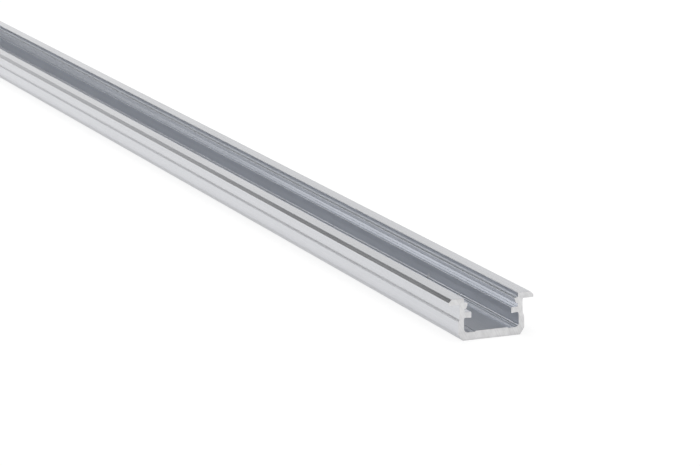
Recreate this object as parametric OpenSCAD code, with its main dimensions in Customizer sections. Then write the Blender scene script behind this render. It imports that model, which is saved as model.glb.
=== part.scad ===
// Recessed LED strip profile: one extruded aluminium bar, sawn square at both ends.
// It lies along Y on its underside, with the origin under its middle and the channel open upwards.
// A light strip lies on the floor between the two ridges, and a cover slides down the sloping tops of
// the two lips and snaps under them. The bar sinks into a slot and hangs in it by its flanges.

/* [Bar] */
// Length the bar is sold in
bar_length = 1000; // [200:50:3000]

/* [Body] */
// Width of the body below the outside step
body_w = 17.5; // [16.6:0.1:22]
// Thickness of the walls beside the lower recess
wall_t = 1.5; // [1.1:0.05:2]
// How far each wall steps in above the outside step
step_in = 0.4; // [0.2:0.05:0.7]
// Radius of the cove that forms the outside step
step_r = 3; // [0.8:0.1:3]
// How far the step's edge lies below the ridges
step_drop = 0.95; // [0:0.05:1.2]
// Width of the bevel along each lower edge
foot_bevel_w = 1.15; // [0.4:0.05:1.6]
// Height of the bevel along each lower edge
foot_bevel_h = 1.7; // [0.4:0.05:2]

/* [Flanges] */
// How far each flange stands out from the wall under it
flange_reach = 2.9; // [1.6:0.05:6]
// Thickness of the flanges
flange_t = 1.5; // [1.2:0.05:2]
// Size of the bevel along each flange's upper edge
flange_bevel = 0.8; // [0.3:0.05:1.05]

/* [Floor] */
// Thickness of the floor under its side channels
floor_t = 2; // [1.3:0.05:3]
// Width of the raised middle that the light strip is stuck to
pad_w = 8.4; // [6:0.1:9.5]
// Height of the raised middle above the side channels
pad_h = 0.2; // [0.1:0.05:0.4]
// Height of the lower recess, up to the tips of the ridges
recess_h = 3.6; // [2.6:0.1:6]

/* [Ridges] */
// Width of the light strip that passes down between the ridges
strip_w = 10; // [8:0.5:11.5]
// Gap between the light strip and each ridge
strip_clear = 0.3; // [0.1:0.05:0.4]
// Thickness of the ridges
ridge_h = 1.5; // [1:0.05:2.5]
// How far each ridge's tip hangs below its root
ridge_hook = 0.15; // [0.05:0.05:0.3]

/* [Cover seat] */
// Depth of the seat that the cover drops into, at the tips of the lips
seat_h = 1.3; // [0.9:0.05:2]
// Metal left between the seat and the outer wall
seat_wall_t = 1.2; // [0.9:0.05:1.35]
// How far each lip reaches in from the side of the seat
lip_reach = 1; // [0.7:0.05:1.3]
// How far the top of each lip falls towards its tip, to lead the cover in
lip_fall = 0.25; // [0.1:0.05:0.35]
// Height of the lips
lip_h = 1.3; // [1:0.05:2]
// Height of the snap pocket between lip and ridge
pocket_h = 0.9; // [0.6:0.05:1.5]
// How deep the pocket reaches in behind the foot of the lip
pocket_depth = 0.45; // [0.2:0.05:0.8]
// Metal left between the pocket and the outer wall
pocket_wall_t = 1.3; // [1.1:0.05:1.45]

/* [Edges] */
// Radius of the outside corners
edge_r = 0.15; // [0.05:0.05:0.25]
// Radius in the corner under each flange
flange_fillet_r = 0.35; // [0.1:0.05:0.6]
// Radius at the back of the snap pocket
pocket_r = 0.1; // [0.05:0.05:0.4]
// Radius of the lower recess under the ridges
recess_top_r = 0.45; // [0.15:0.05:0.8]
// Radius of the lower recess at the floor
recess_low_r = 0.9; // [0.2:0.05:1.2]

/* [Hidden] */

// Steps of each round stretch
arc_steps = 6;

// Heights, from the underside up
pad_z = floor_t + pad_h;
ridge_z = floor_t + recess_h;
ridge_top_z = ridge_z + ridge_h;
lip_z = ridge_top_z + pocket_h;
seat_z = lip_z + lip_h;
top_z = seat_z + seat_h;
flange_z = top_z - flange_t;

// Distances from the middle plane
body_x = body_w / 2;
upper_x = body_x - step_in;
flange_x = upper_x + flange_reach;
recess_x = body_x - wall_t;
ridge_x = strip_w / 2 + strip_clear;
pocket_x = upper_x - pocket_wall_t;
seat_x = upper_x - seat_wall_t;
lip_x = seat_x - lip_reach;
lip_foot_x = pocket_x - pocket_depth;

// The cove starts upright at the upper wall and ends where it has come out as far as the lower one
cove_z = ridge_z - step_drop;
cove_angle = acos(1 - step_in / step_r);
cove_h = step_r * sin(cove_angle);

// Corners of the right half, as [x, z, radius], going round from the underside to the floor
foot = [
    [body_x - foot_bevel_w, 0, edge_r],
    [body_x, foot_bevel_h, edge_r],
];
cove = [
    for (i = [arc_steps:-1:0])
        let (a = cove_angle * i / arc_steps)
        [upper_x + step_r * (1 - cos(a)), cove_z + cove_h - step_r * sin(a), 0],
];
flange = [
    [upper_x, flange_z, flange_fillet_r],
    [flange_x, flange_z, edge_r],
    [flange_x, top_z - flange_bevel, edge_r],
    [flange_x - flange_bevel, top_z, edge_r],
    [seat_x, top_z, edge_r],
];
lip = [
    [seat_x, seat_z + lip_fall, edge_r],
    [lip_x, seat_z, edge_r],
    [lip_foot_x, lip_z, edge_r],
];
pocket = [
    [pocket_x, lip_z, pocket_r],
    [pocket_x, ridge_top_z, pocket_r],
];
ridge = [
    [ridge_x, ridge_top_z, edge_r],
    [ridge_x, ridge_z, edge_r],
];
recess = [
    [recess_x, ridge_z + ridge_hook, recess_top_r],
    [recess_x, floor_t, recess_low_r],
];
pad = [
    [pad_w / 2 + pad_h, floor_t, edge_r],
    [pad_w / 2, pad_z, edge_r],
];
right_half = concat(foot, cove, flange, lip, pocket, ridge, recess, pad);
left_half = [for (i = [len(right_half) - 1:-1:0]) [-right_half[i].x, right_half[i].y, right_half[i].z]];

function flat(p) = [p.x, p.y];
function unit(v) = v / norm(v);

// Points of one corner: an arc that touches both sides, held to just under half of the shorter one
function round_corner(before, corner, after) =
    let (
        to_before = flat(before) - flat(corner),
        to_after = flat(after) - flat(corner),
        half_angle = acos(unit(to_before) * unit(to_after)) / 2,
        longest_run = 0.49 * min(norm(to_before), norm(to_after)),
        r = min(corner.z, longest_run * tan(half_angle)),
        centre = flat(corner) + unit(unit(to_before) + unit(to_after)) * r / sin(half_angle),
        start = flat(corner) + unit(to_before) * r / tan(half_angle) - centre,
        side = sign(cross(-to_before, to_after)),
        sweep = side * (180 - 2 * half_angle)
    )
    [
        for (i = [0:arc_steps])
            let (a = atan2(start.y, start.x) + sweep * i / arc_steps)
            centre + r * [cos(a), sin(a)],
    ];

// A closed outline with each corner rounded to the radius that it carries
function round_outline(corners) =
    let (n = len(corners))
    [
        for (i = [0:n - 1])
            each corners[i].z > 0
                ? round_corner(corners[(i + n - 1) % n], corners[i], corners[(i + 1) % n])
                : [flat(corners[i])],
    ];

module section() {
    polygon(round_outline(concat(right_half, left_half)));
}

module led_profile() {
    color("silver")
        rotate([90, 0, 0])
            linear_extrude(bar_length, center = true)
                section();
}

led_profile();
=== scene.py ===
import bpy
import math
from mathutils import Matrix, Vector


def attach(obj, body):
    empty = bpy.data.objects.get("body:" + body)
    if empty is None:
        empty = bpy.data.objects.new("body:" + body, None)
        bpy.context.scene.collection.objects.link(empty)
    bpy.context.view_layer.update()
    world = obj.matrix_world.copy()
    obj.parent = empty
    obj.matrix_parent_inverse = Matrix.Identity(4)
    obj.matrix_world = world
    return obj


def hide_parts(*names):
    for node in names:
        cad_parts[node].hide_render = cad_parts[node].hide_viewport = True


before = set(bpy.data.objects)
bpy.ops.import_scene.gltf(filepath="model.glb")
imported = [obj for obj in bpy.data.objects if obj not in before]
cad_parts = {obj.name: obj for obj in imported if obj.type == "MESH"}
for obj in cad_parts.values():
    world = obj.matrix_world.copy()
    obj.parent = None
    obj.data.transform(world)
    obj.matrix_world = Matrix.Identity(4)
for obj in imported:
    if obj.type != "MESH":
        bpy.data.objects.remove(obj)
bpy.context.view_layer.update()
print("frame loaded")

scene = bpy.context.scene
scene.view_settings.view_transform = "Standard"


# Selecting

def selectOnly(obj):
    if bpy.context.object is not None and bpy.context.object.mode != "OBJECT":
        bpy.ops.object.mode_set(mode="OBJECT")
    bpy.ops.object.select_all(action="DESELECT")
    obj.select_set(True)
    bpy.context.view_layer.objects.active = obj


def selectFaces(obj, wanted):
    selectOnly(obj)
    bpy.ops.object.mode_set(mode="EDIT")
    bpy.ops.mesh.select_mode(type="FACE")
    bpy.ops.mesh.select_all(action="DESELECT")
    bpy.ops.object.mode_set(mode="OBJECT")
    for face in obj.data.polygons:
        face.select = wanted(face)
    bpy.ops.object.mode_set(mode="EDIT")


# Shader nodes

def newMaterial(name):
    material = bpy.data.materials.new(name)
    material.use_nodes = True
    tree = material.node_tree
    tree.nodes.clear()
    return material, tree


def addNode(tree, kind, inputs=None, **settings):
    node = tree.nodes.new(kind)
    for name, value in settings.items():
        setattr(node, name, value)
    for name, value in (inputs or {}).items():
        if isinstance(value, bpy.types.NodeSocket):
            tree.links.new(value, node.inputs[name])
        else:
            node.inputs[name].default_value = value
    return node


def stretchedNoise(tree, place, scale, detail=2.0):
    mapped = addNode(tree, "ShaderNodeMapping", {"Vector": place, "Scale": scale})
    noise = addNode(tree, "ShaderNodeTexNoise", {"Vector": mapped.outputs[0], "Scale": 1.0, "Detail": detail})
    return noise.outputs["Fac"]


def remap(tree, value, fromRange, toRange=(0, 1)):
    node = addNode(tree, "ShaderNodeMapRange", {
        "Value": value, "From Min": fromRange[0], "From Max": fromRange[1],
        "To Min": toRange[0], "To Max": toRange[1]})
    return node.outputs["Result"]


def calc(tree, operation, first, second=0.0):
    node = addNode(tree, "ShaderNodeMath", {0: first, 1: second}, operation=operation)
    return node.outputs[0]


def average(tree, first, second):
    return calc(tree, "MULTIPLY", calc(tree, "ADD", first, second), 0.5)


def between(tree, value, low, high):
    overLow = calc(tree, "GREATER_THAN", value, low)
    overHigh = calc(tree, "GREATER_THAN", value, high)
    return calc(tree, "SUBTRACT", overLow, overHigh)  # 1 from low to high, 0 elsewhere


def blendColour(tree, amount, first, second):
    node = addNode(tree, "ShaderNodeMix", data_type="RGBA")
    factor, colourA, colourB = node.inputs[0], node.inputs[6], node.inputs[7]
    for socket, value in ((factor, amount), (colourA, first), (colourB, second)):
        if isinstance(value, bpy.types.NodeSocket):
            tree.links.new(value, socket)
        else:
            socket.default_value = value
    return node.outputs[2]


# Camera

camera = {
    "place": (-0.31377, -1.23723, 0.20051),
    "lens": 173.38,
    "sensor": 36,
    "down": 12.234,  # degrees below level
    "right": 20.615,  # degrees from the bar's direction towards +X
    "roll": 1.208,
}
cameraData = bpy.data.cameras.new("photoCamera")
cameraData.lens = camera["lens"]
cameraData.sensor_width = camera["sensor"]
cameraObject = bpy.data.objects.new("photoCamera", cameraData)
scene.collection.objects.link(cameraObject)
cameraObject.matrix_world = (
    Matrix.Translation(camera["place"])
    @ Matrix.Rotation(math.radians(-camera["right"]), 4, "Z")
    @ Matrix.Rotation(math.radians(90 - camera["down"]), 4, "X")
    @ Matrix.Rotation(math.radians(-camera["roll"]), 4, "Z"))
scene.camera = cameraObject
print("camera placed")


# Aluminium bar

bar = {
    "mergeDistance": 0.000001,
    "flatAngle": 1,  # degrees, up to which neighbours become one flat face
    "channelStart": 0.0044,  # the floor's side channels begin here, beside its raised middle
    "channelHeights": (0.0019, 0.0024),  # and a face there has its middle between these heights
    "facingUp": 0.5,  # least share of its normal that points up
    # fine lines that the die leaves in the side channels, as distance from the middle and height
    "ribs": ((0.00555, 0.00008), (0.00583, 0.00008), (0.00668, 0.00009)),
    "ribSlope": 0.75,  # half the width of a line against its height
    "endBevel": 0.00007,  # edge that brushing leaves round each sawn end
    "endSegments": 2,
    "facingEnd": 0.9,  # least share of an end's normal that points along the bar
    "facingSide": 0.1,  # and the most of a side's
    "leastSide": 0.000001,  # smallest face of the sides, in square metres
    "smoothAngle": 35,
    "flatWeight": 100,  # large flat faces settle the shading of their corners
}
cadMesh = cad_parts["led_profile"].data
barObject = bpy.data.objects.new("extrudedBar", cadMesh.copy())
scene.collection.objects.link(barObject)
barObject.data.materials.clear()

selectFaces(barObject, lambda face: True)
bpy.ops.mesh.remove_doubles(threshold=bar["mergeDistance"])
bpy.ops.mesh.dissolve_limited(angle_limit=math.radians(bar["flatAngle"]))
bpy.ops.object.mode_set(mode="OBJECT")


def isChannelFloor(face):
    low, high = bar["channelHeights"]
    inChannel = abs(face.center.x) > bar["channelStart"] and low < face.center.z < high
    return inChannel and face.normal.z > bar["facingUp"]


for ribPlace, ribHeight in bar["ribs"]:
    for side in (-1, 1):
        for offset in (-bar["ribSlope"], bar["ribSlope"], 0):
            selectFaces(barObject, isChannelFloor)
            cut = side * ribPlace + offset * ribHeight
            bpy.ops.mesh.bisect(plane_co=(cut, 0, 0), plane_no=(1, 0, 0), threshold=bar["mergeDistance"])
        bpy.ops.transform.translate(value=(0, 0, ribHeight))  # the last cut is still selected
        bpy.ops.object.mode_set(mode="OBJECT")


def sectionPoint(place):  # to a thousandth of a millimetre
    return round(place.x, 6), round(place.z, 6)


# running length round the section, kept for the UV map
endFace = min(barObject.data.polygons, key=lambda face: face.center.y)
around, girth = {}, 0.0
corners = [barObject.data.vertices[i].co for i in endFace.vertices]
for corner, following in zip(corners, corners[1:] + corners[:1]):
    around[sectionPoint(corner)] = girth
    girth += (following - corner).length

selectFaces(barObject, lambda face: abs(face.normal.y) > bar["facingEnd"])
bpy.ops.mesh.region_to_loop()
bpy.ops.mesh.bevel(offset=bar["endBevel"], segments=bar["endSegments"], affect="EDGES", clamp_overlap=True)
bpy.ops.object.mode_set(mode="OBJECT")

# the sides are unrolled round the section and along the bar, the ends lie flat
barObject.data.uv_layers.new(name="alongBar")
uvMap = barObject.data.uv_layers["alongBar"].data
for face in barObject.data.polygons:
    isSide = abs(face.normal.y) < bar["facingSide"] and face.area > bar["leastSide"]
    face.material_index = 0 if isSide else 1
    places = [barObject.data.vertices[i].co for i in face.vertices]
    runs = [around.get(sectionPoint(place), 0.0) if isSide else place.x for place in places]
    if isSide and max(runs) - min(runs) > girth / 2:  # the face where the running length starts again
        runs = [run if run > girth / 2 else run + girth for run in runs]
    for loop, place, run in zip(face.loop_indices, places, runs):
        uvMap[loop].uv = (run, place.y if isSide else place.z)

selectOnly(barObject)
bpy.ops.object.shade_smooth_by_angle(angle=math.radians(bar["smoothAngle"]))
bpy.ops.object.mode_set(mode="EDIT")
bpy.ops.mesh.select_mode(type="EDGE")
bpy.ops.mesh.select_all(action="DESELECT")
bpy.ops.mesh.edges_select_sharp(sharpness=math.radians(bar["smoothAngle"]))
bpy.ops.mesh.mark_sharp()
bpy.ops.object.mode_set(mode="OBJECT")
weighted = barObject.modifiers.new("flatFaces", "WEIGHTED_NORMAL")
weighted.keep_sharp = True
weighted.weight = bar["flatWeight"]
bpy.ops.object.modifier_apply(modifier=weighted.name)
print("bar shaped,", len(barObject.data.polygons), "faces")


# Anodised skin

skin = {
    "colour": (0.732, 0.742, 0.77, 1),
    "lineColour": (0.685, 0.693, 0.722, 1),
    "lineLimits": (0.35, 0.7),
    "channelShadeColour": (0.68, 0.712, 0.77, 1),  # painted shade: a darker, bluer tone within the channel, where the metal lies in shade
    "channelShadeShare": 0.6,
    "shadedHalf": 0.0074,  # the channel's reach from the middle
    "shadedHeights": (0.0015, 0.0105),
    "roughness": (0.16, 0.24),
    "roughLimits": (0.35, 0.65),
    # stretches from the middle and above the underside, and the roughness added there
    "dullPlaces": [
        ((0, 0.0043), (0.0015, 0.00705), 0.24),
        ((0.0043, 0.0074), (0.0015, 0.0026), 0.04),
        ((0.0043, 0.0074), (0.0026, 0.00705), 0.12),
        ((0.00705, 0.0074), (0.009, 0.0105), 0.1),
    ],
    "anisotropy": 0.6,
    "fineLines": (4200, 0.5, 1),  # changes per metre, round the section and along the bar
    "broadLines": (950, 0.25, 1),
    "clouds": (60, 14, 1),
    "fineDepth": 0.000003,
    "broadDepth": 0.000003,
    # pale specks of saw dust in the channel, as place, size and strength
    "dust": (((0.0072, -0.4417, 0.0027), 0.001, 0.9), ((0.00705, -0.4625, 0.0023), 0.0007, 0.4)),
    "dustColour": (0.9, 0.9, 0.9, 1),
    "dustEdge": (0.9, 1.5),  # a speck fades between these, against its size
}
skinMaterial, tree = newMaterial("anodisedSkin")
unrolled = addNode(tree, "ShaderNodeUVMap", uv_map="alongBar").outputs["UV"]
fineLines = stretchedNoise(tree, unrolled, skin["fineLines"])
broadLines = stretchedNoise(tree, unrolled, skin["broadLines"], detail=3)
clouds = stretchedNoise(tree, unrolled, skin["clouds"], detail=3)
position = addNode(tree, "ShaderNodeTexCoord").outputs["Object"]
parts = addNode(tree, "ShaderNodeSeparateXYZ", {0: position}).outputs
fromMiddle = calc(tree, "ABSOLUTE", parts["X"])
height = parts["Z"]

colour = blendColour(tree, remap(tree, broadLines, skin["lineLimits"]), skin["colour"], skin["lineColour"])
# painted shade: within the channel the skin colour is blended towards a darker, bluer tone
shadedChannel = calc(tree, "MULTIPLY", calc(tree, "LESS_THAN", fromMiddle, skin["shadedHalf"]),
              between(tree, height, *skin["shadedHeights"]))
colour = blendColour(tree, calc(tree, "MULTIPLY", shadedChannel, skin["channelShadeShare"]), colour, skin["channelShadeColour"])

roughness = remap(tree, average(tree, fineLines, clouds), skin["roughLimits"], skin["roughness"])
for across, upwards, added in skin["dullPlaces"]:
    inPlace = calc(tree, "MULTIPLY", between(tree, fromMiddle, *across), between(tree, height, *upwards))
    roughness = calc(tree, "ADD", roughness, calc(tree, "MULTIPLY", inPlace, added))

metal = 1.0
for spot, size, strength in skin["dust"]:
    reach = addNode(tree, "ShaderNodeVectorMath", {0: position, 1: spot}, operation="DISTANCE").outputs["Value"]
    ragged = calc(tree, "ADD", reach, calc(tree, "MULTIPLY", clouds, size))
    cover = remap(tree, ragged, [size * share for share in skin["dustEdge"]], (strength, 0))
    colour = blendColour(tree, cover, colour, skin["dustColour"])
    metal = calc(tree, "SUBTRACT", metal, cover)

fineBump = addNode(tree, "ShaderNodeBump", {
    "Height": fineLines, "Strength": 1.0, "Distance": skin["fineDepth"]})
bump = addNode(tree, "ShaderNodeBump", {
    "Height": broadLines, "Strength": 1.0, "Distance": skin["broadDepth"], "Normal": fineBump.outputs[0]})
tangent = addNode(tree, "ShaderNodeTangent", direction_type="UV_MAP", uv_map="alongBar")
shader = addNode(tree, "ShaderNodeBsdfPrincipled", {
    "Base Color": colour, "Metallic": metal, "Roughness": roughness, "Anisotropic": skin["anisotropy"],
    "Tangent": tangent.outputs[0], "Normal": bump.outputs[0]})
addNode(tree, "ShaderNodeOutputMaterial", {"Surface": shader.outputs[0]})


# Sawn ends

sawn = {
    "colour": (0.81, 0.808, 0.815, 1),
    "darkColour": (0.7, 0.698, 0.704, 1),
    "colourLimits": (0.4, 0.62),
    "roughness": (0.34, 0.5),
    "roughLimits": (0.35, 0.65),
    "bladeCentre": (-0.13, 0, -0.06),  # the blade's marks are arcs round this point
    "markWidth": 0.0003,
    "markDepth": 0.000006,
    "grain": (700, 700, 700),
}
sawnMaterial, tree = newMaterial("sawnEnd")
position = addNode(tree, "ShaderNodeTexCoord").outputs["Object"]
fromBlade = addNode(tree, "ShaderNodeVectorMath", {0: position, 1: sawn["bladeCentre"]}, operation="SUBTRACT")
acrossBar = addNode(tree, "ShaderNodeVectorMath", {0: fromBlade.outputs[0], 1: (1, 0, 1)}, operation="MULTIPLY")
radius = addNode(tree, "ShaderNodeVectorMath", {0: acrossBar.outputs[0]}, operation="LENGTH").outputs["Value"]
ringPlace = addNode(tree, "ShaderNodeCombineXYZ", {"X": calc(tree, "DIVIDE", radius, sawn["markWidth"])})
rings = addNode(tree, "ShaderNodeTexNoise", {"Vector": ringPlace.outputs[0], "Scale": 1.0, "Detail": 2.0})
grain = stretchedNoise(tree, position, sawn["grain"], detail=3)
marks = average(tree, rings.outputs["Fac"], grain)
colour = blendColour(tree, remap(tree, marks, sawn["colourLimits"]), sawn["colour"], sawn["darkColour"])
roughness = remap(tree, marks, sawn["roughLimits"], sawn["roughness"])
bump = addNode(tree, "ShaderNodeBump", {"Height": marks, "Strength": 1.0, "Distance": sawn["markDepth"]})
shader = addNode(tree, "ShaderNodeBsdfPrincipled", {
    "Base Color": colour, "Metallic": 1.0, "Roughness": roughness, "Normal": bump.outputs[0]})
addNode(tree, "ShaderNodeOutputMaterial", {"Surface": shader.outputs[0]})

barObject.data.materials.append(skinMaterial)
barObject.data.materials.append(sawnMaterial)
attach(barObject, "root")
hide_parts("led_profile")
print("finishes laid on")


# Studio

studio = {
    "floorSize": 14,
    "floorDrop": 0.00002,
    "floorColour": (0.92, 0.92, 0.92, 1),
    "ownWhite": 1.1,  # strength of the floor's own white
    "cameraShare": 0.75,  # how much of the floor's look that is, seen by the camera
    "mirrorShare": 0.3,  # and seen in the metal
    "lampPlace": (0.0, 0.2, 1.6),
    "lampAim": (0, 0, 0),
    "lampSize": (1.2, 2.6),
    "lampLevel": 1.26,
    # brightness of the walls and ceiling: degrees round the bar, up from the floor on its left and over,
    # the level seen beside the bar, and the level seen towards its ends
    "walls": [
        (0, 0.0, 0.55), (12, 0.5, 0.8), (24, 1.28, 0.2), (34, 1.32, 0.0), (44, 0.82, 0.15), (54, 0.0, 1.05),
        (64, 0.1, 0.6), (76, 1.2, 0.35), (88, 1.25, 0.65), (98, 0.85, 0.5), (108, 0.0, 0.15), (118, 0.0, 0.2),
        (130, 0.35, 0.4), (142, 0.6, 0.84), (155, 1.0, 1.03), (168, 1.12, 1.14), (180, 1.15, 1.15),
    ],
    "wallPeak": 1.32,
    "endView": (16, 24),  # degrees off the bar's direction, where one level gives way to the other
}
bpy.ops.mesh.primitive_plane_add(size=studio["floorSize"], location=(0, 0, -studio["floorDrop"]))
floorObject = bpy.context.object
floorObject.name = "studioFloor"
floorMaterial, tree = newMaterial("paleFloor")
rays = addNode(tree, "ShaderNodeLightPath").outputs
mirrored = calc(tree, "MAXIMUM", rays["Is Glossy Ray"], rays["Is Transmission Ray"])
share = calc(tree, "MAXIMUM", calc(tree, "MULTIPLY", rays["Is Camera Ray"], studio["cameraShare"]),
             calc(tree, "MULTIPLY", mirrored, studio["mirrorShare"]))
diffuse = addNode(tree, "ShaderNodeBsdfDiffuse", {"Color": studio["floorColour"]})
white = addNode(tree, "ShaderNodeEmission", {"Color": (1, 1, 1, 1), "Strength": studio["ownWhite"]})
mixed = addNode(tree, "ShaderNodeMixShader", {0: share, 1: diffuse.outputs[0], 2: white.outputs[0]})
addNode(tree, "ShaderNodeOutputMaterial", {"Surface": mixed.outputs[0]})
floorObject.data.materials.append(floorMaterial)

lampData = bpy.data.lights.new("overheadBox", "AREA")
lampData.shape = "RECTANGLE"
lampData.size, lampData.size_y = studio["lampSize"]
lampData.energy = studio["lampLevel"] * math.pi * lampData.size * lampData.size_y
lampObject = bpy.data.objects.new("overheadBox", lampData)
scene.collection.objects.link(lampObject)
lampObject.location = studio["lampPlace"]
aim = Vector(studio["lampAim"]) - Vector(studio["lampPlace"])
lampObject.rotation_euler = aim.to_track_quat("-Z", "Y").to_euler()
lampObject.visible_camera = False
lampObject.visible_glossy = False  # the metal sees the ceiling there


def wallRamp(tree, turn, levels):
    ramp = addNode(tree, "ShaderNodeValToRGB", {"Fac": turn})
    stops = ramp.color_ramp.elements
    for index, (degrees, level) in enumerate(levels):
        stop = stops[index] if index < 2 else stops.new(degrees / 180)  # a new ramp has two stops
        stop.position = degrees / 180
        stop.color = (level / studio["wallPeak"],) * 3 + (1,)
    return ramp.outputs["Color"]


world = bpy.data.worlds.new("studioAir")
scene.world = world
world.use_nodes = True
tree = world.node_tree
tree.nodes.clear()
heading = addNode(tree, "ShaderNodeTexCoord").outputs["Generated"]
parts = addNode(tree, "ShaderNodeSeparateXYZ", {0: heading}).outputs
angle = calc(tree, "ARCTAN2", parts["Z"], calc(tree, "MULTIPLY", parts["X"], -1.0))
turn = calc(tree, "DIVIDE", angle, math.pi)
sideWalls = wallRamp(tree, turn, [(degrees, beside) for degrees, beside, ahead in studio["walls"]])
endWalls = wallRamp(tree, turn, [(degrees, ahead) for degrees, beside, ahead in studio["walls"]])
offBar = calc(tree, "ARCCOSINE", calc(tree, "ABSOLUTE", parts["Y"]))
sideShare = remap(tree, offBar, [math.radians(degrees) for degrees in studio["endView"]])
wallLevel = calc(tree, "MULTIPLY", blendColour(tree, sideShare, endWalls, sideWalls), studio["wallPeak"])
rays = addNode(tree, "ShaderNodeLightPath").outputs
level = calc(tree, "MAXIMUM", rays["Is Camera Ray"], wallLevel)  # the camera sees plain white
air = addNode(tree, "ShaderNodeBackground", {"Color": (1, 1, 1, 1), "Strength": level})
addNode(tree, "ShaderNodeOutputWorld", {"Surface": air.outputs[0]})
print("studio set")
